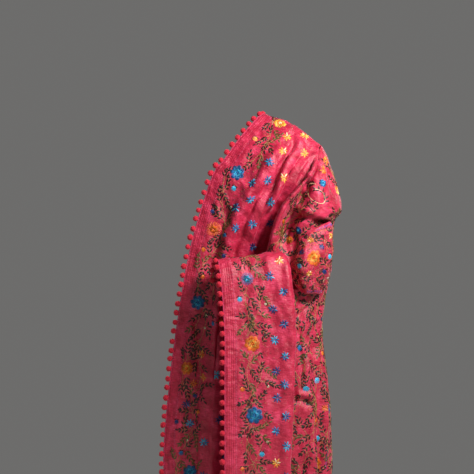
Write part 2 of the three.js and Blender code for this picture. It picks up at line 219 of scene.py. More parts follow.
# Finer creases, a row for each: its two ends on the cloth, its height (below 0 for a trough) and
# its half-width.
FRONT_CREASES = [
    ((208, 150), (206, 236), -9, 12), ((214, 200), (202, 370), -14, 12),
    ((206, 340), (204, 470), -6, 12), ((104, 40), (150, 215), 8, 7), ((118, 45), (166, 240), -8, 6.5),
    ((124, 30), (190, 245), 9.5, 7), ((148, 50), (210, 250), -9.5, 6.5),
    ((166, 45), (214, 200), 8, 7), ((150, 190), (128, 420), 7, 9),
    ((176, 230), (152, 430), -7, 8), ((202, 250), (190, 420), 7, 8), ((84, 120), (104, 300), -4, 8),
    ((70, 60), (82, 190), 3.5, 8), ((100, 300), (84, 470), 4, 10), ((66, 250), (60, 420), -3.5, 9),
    ((60, 470), (92, 700), 5.5, 8), ((84, 520), (110, 800), -7, 7), ((98, 700), (66, 930), 7, 8),
    ((134, 640), (136, 900), -7, 9), ((50, 760), (40, 990), -5.5, 7), ((170, 560), (178, 860), 7, 9),
    ((206, 480), (214, 800), -7, 8), ((30, 560), (36, 700), 3.5, 7), ((110, 930), (118, 1150), 5.5, 8),
    ((112, 400), (122, 1160), -11, 10), ((92, 410), (100, 1160), 7, 8), ((190, 900), (200, 1150), -7, 9),
    ((250, 760), (262, 1100), 7, 10), ((60, 1010), (54, 1180), 5.5, 7),
]
BACK_CREASES = [
    ((60, 60), (110, 260), 5, 8), ((110, 40), (140, 220), -6.5, 8), ((160, 50), (180, 250), 6.5, 8),
    ((90, 260), (84, 520), -5, 9), ((150, 300), (160, 560), 5, 8), ((205, 240), (196, 470), -6.5, 8),
    ((48, 420), (52, 700), 4, 8), ((120, 560), (112, 860), 6.5, 9), ((176, 620), (186, 900), -6.5, 9),
    ((76, 760), (82, 1080), -5, 8), ((226, 560), (232, 840), 5, 7), ((140, 900), (148, 1190), 5, 8),
    ((206, 880), (214, 1180), -5, 8), ((40, 960), (38, 1180), 4, 7),
]
ARM_CREASES = [
    ((222, 158), (146, 178), 9, 6.5), ((150, 176), (50, 204), 7.5, 7), ((214, 176), (140, 198), -10, 7),
    ((146, 196), (44, 224), -7.5, 8), ((112, 148), (92, 176), 6, 7), ((130, 158), (84, 163), -4.5, 3.5),
    ((40, 24), (84, 130), -5, 8), ((70, 20), (104, 110), 5, 8), ((150, 40), (138, 130), 4, 8),
    ((176, 70), (190, 150), -5, 6.5), ((24, 60), (48, 190), 5, 8), ((198, 200), (212, 320), -7.5, 7),
    ((182, 206), (176, 320), 7.5, 7), ((120, 210), (126, 330), 5, 8), ((60, 220), (80, 320), -5, 9),
]
SIDE_CREASES = [
    ((164, 258), (104, 300), 8, 5), ((168, 272), (110, 316), -8, 5), ((50, 36), (146, 74), -6.5, 7.5),
    ((26, 92), (104, 132), 5, 7.5), ((40, 176), (132, 196), -5, 7), ((60, 210), (140, 232), 4, 7),
    ((92, 60), (96, 240), 5, 7), ((130, 100), (136, 250), -5, 6), ((48, 250), (70, 470), 6.5, 7),
    ((86, 330), (80, 560), -6.5, 7), ((120, 340), (128, 620), 5, 7), ((40, 480), (48, 740), -5, 7),
    ((100, 580), (92, 800), 5, 7), ((148, 420), (150, 700), -4, 6),
]
FOREARM_CREASES = [
    ((2, 246), (42, 250), -3, 2.5), ((2, 251), (40, 255), 2, 2.5), ((2, 500), (38, 503), -3, 2),
    ((2, 536), (60, 530), -3, 2.5), ((2, 541), (52, 536), 2, 2.5), ((4, 330), (34, 336), -2, 2.5),
    ((4, 404), (30, 400), -2, 2.5), ((60, 64), (66, 150), -2.5, 8), ((118, 70), (112, 170), 3.5, 9),
    ((96, 150), (100, 480), 3, 12), ((128, 260), (132, 620), -3, 9), ((158, 130), (166, 420), 3.5, 8),
    ((52, 420), (60, 760), -3, 11), ((104, 500), (96, 860), 4, 11), ((146, 560), (150, 880), 3.5, 9),
    ((176, 300), (178, 620), -3.5, 7), ((2, 690), (46, 694), -2.5, 2.5), ((2, 812), (40, 808), -2.5, 2.5),
]
ELBOW_CREASES = [
    ((20, 24), (110, 40), -5, 8), ((60, 6), (150, 30), 5, 7), ((10, 96), (90, 140), -5, 8),
    ((96, 70), (160, 100), -5, 8), ((110, 40), (118, 130), 5, 9), ((40, 120), (130, 146), 3.5, 6),
]


# Surfaces

def curve(points, shares, before=None, after=None):
    """A smooth curve through points, at shares of its length. before and after are the points that
    it would go on to beyond its ends."""
    points = np.asarray(points, float)
    first = 2 * points[0] - points[1] if before is None else before
    last = 2 * points[-1] - points[-2] if after is None else after
    knots = np.concatenate([[first], points, [last]])
    place = np.clip(shares, 0, 1) * (len(points) - 1)
    start = np.minimum(place.astype(int), len(points) - 2)
    t = (place - start).reshape(-1, *[1] * (points.ndim - 1))
    p0, p1, p2, p3 = (knots[start + k] for k in range(4))
    bend = 2 * p0 - 5 * p1 + 4 * p2 - p3
    return p1 + 0.5 * t * (p2 - p0 + t * (bend + t * (3 * (p1 - p2) + p3 - p0)))


def unit(vectors):
    return vectors / np.maximum(np.linalg.norm(vectors, axis=-1, keepdims=True), 1e-9)


def distances(path):
    """How far along a path each of its points lies."""
    steps = np.linalg.norm(np.diff(path, axis=0), axis=-1)
    return np.concatenate([[0], np.cumsum(steps)])


def mean_fall(points):
    """How far down the cloth each row of points lies, as a mean over its columns."""
    steps = np.linalg.norm(np.diff(points, axis=0), axis=-1).mean(axis=1)
    return np.concatenate([[0], np.cumsum(steps)])


def places_at(path, marks):
    """The places at given distances along a path."""
    walked = distances(path)
    return np.stack([np.interp(marks, walked, line) for line in np.transpose(path)], axis=-1)


def beyond(inner, seam, outer):
    """The point after a seam that makes a curve from inner pass it in the same direction as the
    neighbour's curve from outer does."""
    tangent = unit(unit(outer - seam) + unit(seam - inner))
    length = np.linalg.norm(seam - inner, axis=-1, keepdims=True)
    return inner + 2 * length * tangent


def between(columns, across, before=None, after=None):
    """The surface through columns, as rows of points."""
    return curve(columns, across, before, after).swapaxes(0, 1)


def down_columns(sections, down):
    return [curve(points, down) for points in sections.values()]


def joined_column(points, down, over_ridge):
    """The points down a column that goes on over the shoulder's ridge as another column."""
    points = np.array(points, float)
    return curve(points, down, beyond(points[1], points[0], np.array(over_ridge[1], float)))


ELBOW_ROW = len(BACK_SECTIONS["corner"]) - len(SIDE_SECTIONS["outer"])
UPPER = ELBOW_ROW / (len(BACK_SECTIONS["corner"]) - 1)  # the share of the back above the elbow
TUCK_ROW = 4  # the first section of the forearm stretch that the side one meets
TUCK = TUCK_ROW / (len(FOREARM_SECTIONS["tuck"]) - 1)
RIDGE = list(zip(FRONT_SECTIONS.values(), BACK_SECTIONS.values()))  # columns that meet on the shoulder
RIDGE_BLEND = 0.1  # the share of the back over which its outer edge turns to the arm


def on_forearm(places):
    """Places given along the forearm from the wrist, outward from its axis, and up."""
    along = unit((ELBOW - WRIST).astype(float))
    outward = np.array([along[1], -along[0]])
    return [(*(WRIST + a * along + b * outward), z) for a, b, z in places]


FOREARM_POINTS = {name: on_forearm(places) for name, places in FOREARM_SECTIONS.items()}


def back_columns(down):
    return [joined_column(back, down, front) for front, back in RIDGE]


def front_surface(across, down):
    return between([joined_column(front, down, back) for front, back in RIDGE], across)


def back_surface(across, down):
    columns = back_columns(down)
    arm = curve(ARM_SECTIONS["outer"], np.minimum(down / UPPER, 1))
    side = curve(SIDE_SECTIONS["outer"], (down - UPPER) / (1 - UPPER))
    neighbour = np.where((down < UPPER)[:, None], arm, side)
    straight = 2 * columns[-1] - columns[-2]
    share = np.clip(down / RIDGE_BLEND, 0, 1)[:, None]  # straight on the shoulder, as the front is
    after = straight + share * (beyond(columns[-2], columns[-1], neighbour) - straight)
    return between(columns, across, after=after)


def arm_surface(across, down):
    back = back_columns(down * UPPER)
    columns = [back[-1], *down_columns(ARM_SECTIONS, down)]
    return between(columns, across, beyond(columns[1], columns[0], back[-2]))


def side_surface(across, down):
    back = back_columns(UPPER + down * (1 - UPPER))
    tuck = curve(FOREARM_POINTS["tuck"], TUCK + down * (1 - TUCK))
    columns = [back[-1], *down_columns(SIDE_SECTIONS, down), tuck]
    return between(columns, across, beyond(columns[1], columns[0], back[-2]))


def forearm_surface(across, down):
    return between(down_columns(FOREARM_POINTS, down), across)


def elbow_surface(across, down):
    return between(down_columns(ELBOW_SECTIONS, down), across)


def fold_height(folds, across, down):
    total = np.zeros((len(down), len(across)))
    for fold in folds:
        place = curve(fold["across"], down)[:, None]
        height = curve(fold["height"], down)[:, None]
        total += height * np.exp(-(((across - place) / fold["width"]) ** 2))
    return total


def crease_height(creases, across, down):
    """The height of the creases at places on the cloth. Each fades out towards its two ends."""
    total = np.zeros_like(across)
    for start, end, height, width in creases:
        run = np.subtract(end, start)
        share = ((across - start[0]) * run[0] + (down - start[1]) * run[1]) / (run @ run)
        share = np.clip(share, 0, 1)
        distance = np.hypot(across - start[0] - share * run[0], down - start[1] - share * run[1])
        total += height * (1 - (2 * share - 1) ** 4) * np.exp(-((distance / width) ** 1.6))
    return total


WAVE_COUNT = 14


def waves(points, length, seed):
    """Soft irregular waves in space, longer up and down than across, mostly between -1 and 1."""
    random = np.random.default_rng(seed)
    total = np.zeros(points.shape[:-1])
    for _ in range(WAVE_COUNT):
        direction = unit(random.normal(size=3)) * (1, 1, 0.45)
        pitch = length * random.uniform(0.7, 1.5)
        total += np.sin(points @ direction * 2 * math.pi / pitch + random.uniform(0, 2 * math.pi))
    return total / math.sqrt(WAVE_COUNT / 2) / 1.5


def crumple(points):
    """The small dents and sharp little ridges of thin silk."""
    soft = waves(points, 70, seed=1)
    ridged = 0.5 - np.abs(waves(points, 36, seed=2))
    fine = 0.5 - np.abs(waves(points, 16, seed=3))
    return 1.6 * soft + 2.5 * ridged + 1.2 * fine


PUCKER_WAVES = 9
PUCKER_HEIGHT = 0.2  # of one of their waves
PUCKER_REACH = 30  # from the pompom edge


def puckers(across, down):
    """Little gathers square to a pompom edge, where the pintucks draw the cloth in."""
    random = np.random.default_rng(4)
    total = np.zeros_like(down)
    for _ in range(PUCKER_WAVES):
        pitch, lean = random.uniform(7, 26), random.uniform(-0.3, 0.3)
        total += np.sin((down + lean * across) * 2 * math.pi / pitch + random.uniform(0, 6))
    return PUCKER_HEIGHT * total * np.exp(-((across / PUCKER_REACH) ** 4))


GRID_STEP = 4
BORDER_STEP = 1.3
BORDER_WIDTH = 28  # of the plain band with its pintucks, along a pompom edge
BORDER_CALM = 0.55  # the share of the crumple that the pintucks take out
PINTUCKS = (5, 10, 15, 20)
PINTUCK_HEIGHT = 0.9
PINTUCK_WIDTH = 1.1
HEM_WIDTH = 9
HEM_HEIGHT = 0.8
HEM_SLOPE = 1.5  # the length over which the turned hem rises
SEAM_FADE = 9  # how far from a neighbouring stretch the creases reach their height
LOOKUP_STEP = 2  # of the grid that places work on the cloth


class Stretch:
    """A stretch of cloth as a grid of points with normals that point away from the wearer."""

    def __init__(self, surface, facing, folds, creases, bordered=False, hemmed=True, seams=()):
        """facing is 1 or -1, whichever turns the normals outwards. seams names the side edges, "first"
        and "last", that meet another stretch."""
        self.facing = facing
        self.bordered = bordered
        across, down = self.even_shares(surface)
        points = surface(across, down)
        points = points + self.normals_of(points) * fold_height(folds, across, down)[..., None]
        self.measure(points)
        heights = self.relief(points, creases, hemmed, seams)
        self.points = points + self.normals_of(points) * heights[..., None]
        self.normals = self.normals_of(self.points)
        self.measure(self.points)
        self.index()

    def relief(self, points, creases, hemmed, seams):
        """The height of the small forms at each point: creases, crumple, pintucks and hem."""
        heights = crease_height(creases, self.across, self.down)
        if self.bordered:
            heights += crumple(points) * (1 - BORDER_CALM * np.exp(-((self.across / BORDER_WIDTH) ** 4)))
            heights += puckers(self.across, self.down)
            for line in PINTUCKS:
                heights += PINTUCK_HEIGHT * np.exp(-(((self.across - line) / PINTUCK_WIDTH) ** 2))
        else:
            heights += crumple(points)
        if "first" in seams:
            heights *= 1 - np.exp(-((self.across / SEAM_FADE) ** 2))
        if "last" in seams:
            heights *= 1 - np.exp(-(((self.widths[:, None] - self.across) / SEAM_FADE) ** 2))
        if hemmed:
            step = (self.length - self.down - HEM_WIDTH) / HEM_SLOPE
            heights += HEM_HEIGHT / (1 + np.exp(np.clip(step, -50, 50)))
        return heights

    def even_shares(self, surface):
        """Shares across and down that give nearly even steps on the cloth, closer along a border."""
        dense = np.linspace(0, 1, 600)
        column = surface(np.linspace(0, 1, 5), dense)
        row = surface(dense, np.array([0.5]))[0]
        fallen = mean_fall(column)
        walked = distances(row)
        steps_down = np.linspace(0, fallen[-1], round(fallen[-1] / GRID_STEP) + 1)
        start = BORDER_WIDTH if self.bordered else 0
        border = np.arange(0, start, BORDER_STEP)
        rest = np.linspace(start, walked[-1], round((walked[-1] - start) / GRID_STEP) + 1)
        steps_across = np.concatenate([border, rest])
        return np.interp(steps_across, walked, dense), np.interp(steps_down, fallen, dense)

    def normals_of(self, points):
        return self.facing * unit(np.cross(np.gradient(points, axis=0), np.gradient(points, axis=1)))

    def measure(self, points):
        """Each point's place on the cloth. A row's place down it is the mean over its columns."""
        walked = np.linalg.norm(np.diff(points, axis=1), axis=-1)
        self.across = np.pad(np.cumsum(walked, axis=1), ((0, 0), (1, 0)))
        self.rows = mean_fall(points)
        self.down = np.repeat(self.rows[:, None], points.shape[1], axis=1)
        self.length = self.rows[-1]
        self.widths = self.across[:, -1]

    def index(self):
        """A second grid, even across, for at()."""
        places = np.arange(0, self.widths.max() + LOOKUP_STEP, LOOKUP_STEP)
        values = np.concatenate([self.points, self.normals], axis=-1)
        self.lookup = np.array([
            [np.interp(places, walked, line) for line in row.T]
            for walked, row in zip(self.across, values)
        ]).swapaxes(1, 2)

    def at(self, across, down):
        """Points on the cloth and the normals there."""
        row = np.interp(down, self.rows, np.arange(len(self.rows)))
        column = np.clip(np.asarray(across) / LOOKUP_STEP, 0, self.lookup.shape[1] - 1.001)
        row = np.clip(row, 0, len(self.rows) - 1.001)
        j, i = row.astype(int), column.astype(int)
        t, s = (row - j)[:, None], (column - i)[:, None]
        upper = self.lookup[j, i] * (1 - s) + self.lookup[j, i + 1] * s
        lower = self.lookup[j + 1, i] * (1 - s) + self.lookup[j + 1, i + 1] * s
        found = upper * (1 - t) + lower * t
        return found[:, :3], unit(found[:, 3:])

    def width_at(self, down):
        return float(np.interp(down, self.rows, self.widths))

    def local_steps(self, across, down):
        """The matrix that turns millimetres along a row and square to it into steps across and down."""
        reach = 3
        spots, _ = self.at(across + np.array([0, reach, 0]), down + np.array([0, 0, reach]))
        along, below = (spots[1:] - spots[0]) / reach
        length = max(np.linalg.norm(along), 0.3)
        shear = below @ along / length
        depth = math.sqrt(max(below @ below - shear**2, 0.1))
        return np.linalg.inv([[length, shear], [0, depth]])


# Meshes and outlines

def mesh_piece(name, points, faces, materials, face_materials=None):
    """A piece from points in millimetres in the wearer's frame."""
    mesh = bpy.data.meshes.new(name)
    mesh.from_pydata(((np.asarray(points) - SHOULDER) * MM).tolist(), [], faces)
    for material in materials:
        mesh.materials.append(material)
    if face_materials is not None:
        mesh.polygons.foreach_set("material_index", face_materials)
    mesh.polygons.foreach_set("use_smooth", [True] * len(mesh.polygons))
    mesh.update()
    piece = bpy.data.objects.new(name, mesh)
    bpy.context.scene.collection.objects.link(piece)
    return piece


def cloth_piece(name, stretch):
    """The stretch as a thin shell, with its places on the cloth as a UV map in metres."""
    rows, columns = stretch.points.shape[:2]
    index = np.arange(rows * columns).reshape(rows, columns)
    corners = [index[:-1, :-1], index[:-1, 1:], index[1:, 1:], index[1:, :-1]]
    if stretch.facing > 0:
        corners.reverse()
    faces = np.stack(corners, axis=-1).reshape(-1, 4)
    piece = mesh_piece(name, stretch.points.reshape(-1, 3), faces.tolist(), [SILK])
    layer = piece.data.uv_layers.new(name="cloth")
    places = np.stack([stretch.across, stretch.down], axis=-1).reshape(-1, 2) * MM
    layer.uv.foreach_set("vector", places[faces.ravel()].ravel().astype(np.float32))
    shell = piece.modifiers.new("thickness", "SOLIDIFY")
    shell.thickness = THICKNESS * MM
    shell.offset = 0
    shell.use_even_offset = False
    return piece


def heading(angle):
    """The unit vector in a direction on the cloth."""
    return np.array([math.cos(angle), math.sin(angle)])


def circle(radius, count, height, x=0, y=0):
    """Points evenly round a circle."""
    angles = np.arange(count) * 2 * math.pi / count
    return [(x + radius * math.cos(a), y + radius * math.sin(a), height) for a in angles]


def band(first, second, count):
    """The faces between two rings of count points, from the numbers of the rings' first points."""
    ring = [(k, (k + 1) % count) for k in range(count)]
    return [(first + a, first + b, second + b, second + a) for a, b in ring]


# Stitches

class Needlework:
    """The stitches on one stretch. A motif is drawn in millimetres round a place on the cloth, x
    along the cloth's row and y down it, and each of its points also has a height."""

    def __init__(self, stretch, seed):
        self.stretch = stretch
        self.random = np.random.default_rng(seed)
        self.places = []
        self.faces = []
        self.threads = []
        self.count = 0
        self.plain = 0  # no leaves, stems or seeds before this place across the cloth
        self.taken = []  # the larger motifs, which these keep clear of
        self.sprigs = []  # the middles and tips of the sprigs

    def holds(self, across, down, margin):
        width = self.stretch.width_at(down)
        return margin < across < width - margin and margin < down < self.stretch.length - margin

    def free(self, across, down, margin):
        if across < self.plain or not self.holds(across, down, margin):
            return False
        return all(math.hypot(across - a, down - d) > radius for a, d, radius in self.taken)

    def add(self, places, faces, thread):
        """places is an array of (across, down, height)."""
        self.places.append(places)
        self.faces += [[self.count + corner for corner in face] for face in faces]
        self.threads += [thread] * len(faces)
        self.count += len(places)

    def draw(self, centre, turn, points, faces, thread):
        """Adds a shape drawn round the origin, turned clockwise as it is seen with "down" downwards."""
        c, s = heading(turn)
        steps = self.stretch.local_steps(*centre) @ np.array([[c, -s], [s, c]])
        places = np.array(points, float)
        places[:, :2] = places[:, :2] @ steps.T + centre
        self.add(places, faces, thread)

    def piece(self, name):
        places = np.concatenate(self.places)
        points, normals = self.stretch.at(places[:, 0], places[:, 1])
        points = points + normals * (THICKNESS / 2 + places[:, 2])[:, None]
        names = sorted(set(self.threads))
        numbers = [names.index(thread) for thread in self.threads]
        return mesh_piece(name, points, self.faces, [THREADS[n] for n in names], numbers)


SINK = -0.35  # of the edges of a stitch, under the cloth's face


def stitch_shape(start, end, width, rise):
    """One straight stitch: a low rounded strand with tapered ends."""
    start, end = np.array(start, float), np.array(end, float)
    run = end - start
    side = np.array([-run[1], run[0]]) / max(math.hypot(*run), 1e-6) * width / 2
    points = [(*start, SINK)]
    for share in (0.2, 0.8):
        middle = start + run * share
        points += [(*(middle - side), SINK), (*middle, rise), (*(middle + side), SINK)]
    points.append((*end, SINK))
    faces = [(0, 2, 1), (0, 3, 2), (1, 2, 5, 4), (2, 3, 6, 5), (4, 5, 7), (5, 6, 7)]
    return points, faces


def join_shapes(shapes):
    points, faces = [], []
    for more_points, more_faces in shapes:
        faces += [[len(points) + corner for corner in face] for face in more_faces]
        points += more_points
    return points, faces


def leaf_shape(length, width, rise=0.9):
    """A leaf of two rows of slanting stitches that meet in a groove, from its stalk at the origin
    to its tip along x."""
    points = [(0, 0, SINK)]
    for share, swell in ((0.22, 0.75), (0.55, 1), (0.82, 0.6)):
        half = width / 2 * swell
        x = length * share
        points += [(x, -half, SINK), (x + 0.3, -half * 0.5, rise), (x + 0.5, 0, rise * 0.45)]
        points += [(x + 0.3, half * 0.5, rise), (x, half, SINK)]
    points.append((length, 0, SINK))
    faces = [(0, k + 1, k) for k in range(1, 5)]
    for first in (1, 6):
        faces += [(first + k, first + k + 1, first + k + 6, first + k + 5) for k in range(4)]
    faces += [(k, k + 1, 16) for k in range(11, 15)]
    return points, faces


STITCH_OVERLAP = 1.25  # of a stitch's width to its share of the petal


def fan_shape(start, end, inner, outer, count, rise, bulge=0.25):
    """A petal of straight stitches between two radii, longest in the middle, from angle start to end."""
    shapes = []
    for k in range(count):
        share = (k + 0.5) / count
        angle = start + (end - start) * share
        reach = inner + (outer - inner) * (1 - bulge * (2 * share - 1) ** 2)
        width = (end - start) * (inner + reach) / 2 / count * STITCH_OVERLAP
        way = heading(angle)
        shapes.append(stitch_shape(way * inner, way * reach, max(width, 0.9), rise))
    return join_shapes(shapes)


def ring_of_petals(petals, inner, outer, count, rise, fill=0.94):
    """Petals all round, each over a share of its sector."""
    step = 2 * math.pi / petals
    half = step * fill / 2
    return join_shapes([
        fan_shape(k * step - half, k * step + half, inner, outer, count, rise)
        for k in range(petals)
    ])


def knot_shape(x, y, radius, rise):
    """A French knot: a small dome."""
    points = circle(radius, 6, SINK, x, y) + circle(radius * 0.6, 6, rise * 0.8, x, y) + [(x, y, rise)]
    faces = band(0, 6, 6) + [(6 + k, 6 + (k + 1) % 6, 12) for k in range(6)]
    return points, faces


def turned(shape, angle, offset=0.0):
    """A shape moved along x by offset and then turned round the origin."""
    points, faces = shape
    c, s = heading(angle)
    return [((x + offset) * c - y * s, (x + offset) * s + y * c, z) for x, y, z in points], faces


LEAF_WIDTH = 5.2


def leaf(work, across, down, turn, length, width, thread="leaf"):
    if work.free(across, down, 4):
        work.draw((across, down), turn, *leaf_shape(length, width), thread)


STAR_REACH = 0.56  # of a ray, as a share of the star's size
STAR_RAY = 0.17  # a ray's width, as a share of the star's size
PAINTED_SHEEN_RAYS = 0.4  # the share of rays in a lighter or darker thread: painted sheen and shade of the satin
STAR_PAINTED_SHEEN_THREADS = {  # lighter and darker threads for some rays: painted sheen and shade of the satin
    "blue": ("navy", "turquoise"),
    "turquoise": ("blue", "blue"),
    "navy": ("blue", "navy"),
    "orange": ("yellow", "orange"),
    "yellow": ("orange", "cream"),
}


def star(work, across, down, size, thread, rays=8):
    """Pointed rays in satin stitch that meet in the middle, some of them in a lighter or darker thread as
    painted sheen and shade.
    """
    if not work.holds(across, down, size / 2):
        return
    work.taken.append((across, down, size / 2))
    first = work.random.uniform(0, math.pi)
    for k in range(rays):
        angle = first + 2 * math.pi * (k + work.random.uniform(-0.14, 0.14)) / rays
        reach = size * STAR_REACH * work.random.uniform(0.85, 1.1)
        ray = turned(leaf_shape(reach - 0.5, size * STAR_RAY, rise=1.6), angle, 0.5)
        # some rays take a lighter or darker thread: painted sheen and shade of the satin
        painted_sheen_thread = STAR_PAINTED_SHEEN_THREADS[thread][k % 2] if work.random.uniform() < PAINTED_SHEEN_RAYS else thread
        work.draw((across, down), 0, *ray, painted_sheen_thread)


BLOSSOM_THREADS = {  # rim, inner petals and middle
    "blue": ("navy", "turquoise", "blue"),
    "navy": ("navy", "blue", "turquoise"),
    "orange": ("orange", "yellow", "orange"),
    "yellow": ("yellow", "orange", "cream"),
}


def blossom(work, across, down, size, thread):
    """A padded flower: a ring of broad petals, a smaller one over it, and knots in the middle."""
    if not work.holds(across, down, size / 2):
        return
    work.taken.append((across, down, size / 2 - 1))
    rim, inner, middle = BLOSSOM_THREADS[thread]
    centre, turn, radius = (across, down), work.random.uniform(0, 2), size / 2
    if thread == "blue":
        work.draw(centre, turn, *ring_of_petals(7, radius * 0.35, radius, 7, 1.7), "blue")
        work.draw(centre, turn, *ring_of_petals(7, radius * 0.62, radius * 1.02, 5, 1.5, fill=0.5), rim)
    else:
        work.draw(centre, turn, *ring_of_petals(8, radius * 0.35, radius, 7, 1.7), rim)
    work.draw(centre, turn + 0.4, *ring_of_petals(6, radius * 0.12, radius * 0.6, 5, 2.4), inner)
    knot_radius = radius * 0.1 + 0.6
    knots = [knot_shape(x, y, knot_radius, 3.2) for x, y, _ in circle(radius * 0.2, 5, 0)]
    knots.append(knot_shape(0, 0, knot_radius, 3.6))
    work.draw(centre, turn, *join_shapes(knots), middle)


SUNBURST_RAYS = 24


def sunburst(work, across, down, size, thread):
    """A flower of fine rays round a padded middle."""
    if not work.holds(across, down, size / 2):
        return
    work.taken.append((across, down, size / 2))
    shapes = []
    for k in range(SUNBURST_RAYS):
        way = heading(2 * math.pi * k / SUNBURST_RAYS)
        reach = size / 2 * work.random.uniform(0.85, 1)
        shapes.append(stitch_shape(way * size * 0.2, way * reach, size * 0.05, 1.2))
    work.draw((across, down), 0, *join_shapes(shapes), thread)
    middle = "turquoise" if thread == "blue" else thread
    work.draw((across, down), 0, *ring_of_petals(6, 0.8, size * 0.28, 5, 2.2), middle)


def bud(work, across, down, size, thread):
    """A drop-shaped bud in satin stitch that hangs from a place, with two dark sepals there."""
    if not work.holds(across, down, size / 2):
        return
    hanging = math.pi / 2
    petal = fan_shape(-0.75, 0.75, size * 0.1, size * 0.95, 6, 1.7, bulge=0.35)
    work.draw((across, down), hanging, *petal, thread)
    for side in (-1, 1):
        leaf(work, across, down, hanging + side * 1.25, size * 0.5, size * 0.2)
    work.taken.append((across, down + size * 0.5, size * 0.5))


STEM_STITCH = 4.5


def strand(work, path, thread, width, rise):
    """A line of stem stitches along a path of places on the cloth."""
    length = distances(path)[-1]
    line = places_at(path, np.linspace(0, length, max(2, round(length / STEM_STITCH) + 1)))
    for a, b in zip(line, line[1:]):
        if work.free(*a, 3) and work.free(*b, 3):
            run = (b - a) * 1.25
            slant = np.array([-run[1], run[0]]) * 0.08
            points, faces = stitch_shape(a - slant, a + run + slant, width, rise)
            work.add(np.array(points, float), faces, thread)


def walk(path, spacing):
    """Places along a path at even spacing, each with the path's direction there."""
    marks = np.arange(spacing / 2, distances(path)[-1], spacing)
    places = places_at(path, marks)
    runs = places_at(path, marks + 1) - places
    return places, np.arctan2(runs[:, 1], runs[:, 0])


LEAF_LENGTH = 13.5
LEAF_SPREAD = 0.62  # the angle between a leaf and its stem


def leaves_along(work, path, spacing, thread="leaf"):
    """Pairs of leaves along a path, pointing along it and smaller towards its end."""
    places, ways = walk(path, spacing)
    for k, (place, way) in enumerate(zip(places, ways)):
        for side in (-1, 1):
            length = LEAF_LENGTH * work.random.uniform(0.8, 1.15) * (1 - 0.3 * k / len(places))
            turn = way + side * (LEAF_SPREAD + work.random.uniform(-0.2, 0.2))
            leaf(work, *place, turn, length, LEAF_WIDTH, thread)


CURL_STEPS = 10


def curl(start, way, length, bend):
    """A path of a given length that leaves start in a direction and turns by bend on the way."""
    path = [np.array(start, float)]
    for _ in range(CURL_STEPS):
        way += bend / CURL_STEPS
        path.append(path[-1] + length / CURL_STEPS * heading(way))
    return path


SPRIG_ROOM = 11.5  # between the middles and tips of sprigs


def sprig(work, start, way, length, bend, leaves="leaf"):
    """A thin curling stem with leaves in pairs and one at its tip, where there is room for it."""
    path = curl(start, way, length, bend)
    marks = [path[len(path) // 2], path[-1]]
    for mark in marks:
        near = min([np.linalg.norm(mark - other) for other in work.sprigs], default=SPRIG_ROOM)
        if near < SPRIG_ROOM or not work.free(*mark, 5):
            return
    work.sprigs += marks
    leaves_along(work, path[2:], 9, thread=leaves)
    strand(work, path, "stem", width=1.2, rise=1.0)
    leaf(work, *path[-1], math.atan2(*(path[-1] - path[-2])[::-1]), 12, 5, leaves)


def sequin(work, across, down, size, thread):
    """A dished disc with a hole and a rim."""
    if not work.holds(across, down, size):
        return
    count = 10
    points = circle(size / 2, count, 0.5) + circle(size / 8, count, 0.25) + circle(size / 2, count, 0.1)
    work.draw((across, down), 0, points, band(0, count, count) + band(2 * count, 0, count), thread)


def seeds(work, region, count, threads):
    """Tiny scattered stitches. region is (across, across, down, down)."""
    for _ in range(count):
        place = (work.random.uniform(*region[:2]), work.random.uniform(*region[2:]))
        turn = work.random.uniform(0, math.pi)
        thread = threads[work.random.integers(len(threads))]
        if work.free(*place, 3):
            work.draw(place, turn, *stitch_shape((-1.7, 0), (1.7, 0), 1.4, 0.7), thread)


def zigzag(work, path, depth, pitch, thread):
    """A zigzag line of straight stitches on both sides of a path."""
    places, ways = walk(path, pitch)
    for k, (place, way) in enumerate(zip(places, ways)):
        lean = way + (1 if k % 2 else -1) * 1.1
        reach = depth / 2 * heading(lean)
        if work.holds(*place, depth / 2 + 1):
            points, faces = stitch_shape(place - reach, place + reach, 1.1, 0.7)
            work.add(np.array(points, float), faces, thread)


# The design

BORDER_ZIGZAG = 27  # its place across the cloth
VINE_LINE = 60  # the place across the cloth that a vine winds about
VINE_SWING = 18
VINE_PITCH = 172
VINE_THREADS = ("leaf", "olive", "stem")
PATH_STEP = 6.0  # between the points of a path down the cloth


def vine(work, start, phase, line=VINE_LINE, swing=VINE_SWING, pitch=VINE_PITCH, spacing=7):
    """A winding stem down to the hem with leafy sprigs on both sides, most of them pointing up."""
    down = np.arange(start, work.stretch.length, PATH_STEP)
    path = np.stack([line + swing * np.sin(2 * math.pi * (down - phase) / pitch), down], axis=-1)
    strand(work, path, "stem", width=1.3, rise=0.8)
    places, ways = walk(path, spacing)
    for place, way in zip(places, ways):
        for side in (-1, 1):
            up = math.pi if work.random.uniform() < 0.75 else 0
            lean = side * work.random.uniform(0.35, 1.1)
            bend = side * work.random.uniform(-1.3, 0.7)
            leaves = "leaf" if work.random.uniform() < 0.8 else "olive"
            sprig(work, place, way + up + lean, work.random.uniform(24, 50), bend, leaves)


def plain_border(work):
    """The fine zigzag beside the pintucks. The band before it stays plain."""
    line = [(BORDER_ZIGZAG, down) for down in np.arange(4, work.stretch.length, PATH_STEP)]
    zigzag(work, line, 4.5, 3.2, "rose")
    work.plain = BORDER_ZIGZAG + 3


MOTIFS = {"blossom": blossom, "bud": bud, "star": star, "sunburst": sunburst, "sequin": sequin}


def sew(work, motifs):
    """motifs has rows of a kind, a thread, a size and then the places (across, down)."""
    for kind, thread, size, *places in motifs:
        for across, down in places:
            MOTIFS[kind](work, across, down, size, thread)


def star_columns(work, lines, start, threads, pitch):
    """Columns of stars down to the hem, every other one half a pitch lower."""
    for k, line in enumerate(lines):
        for n, down in enumerate(np.arange(start + (k % 2) * pitch / 2, work.stretch.length, pitch)):
            star(work, line, down, 22, threads[(n + k) % len(threads)], rays=7 + (n + k) % 2)


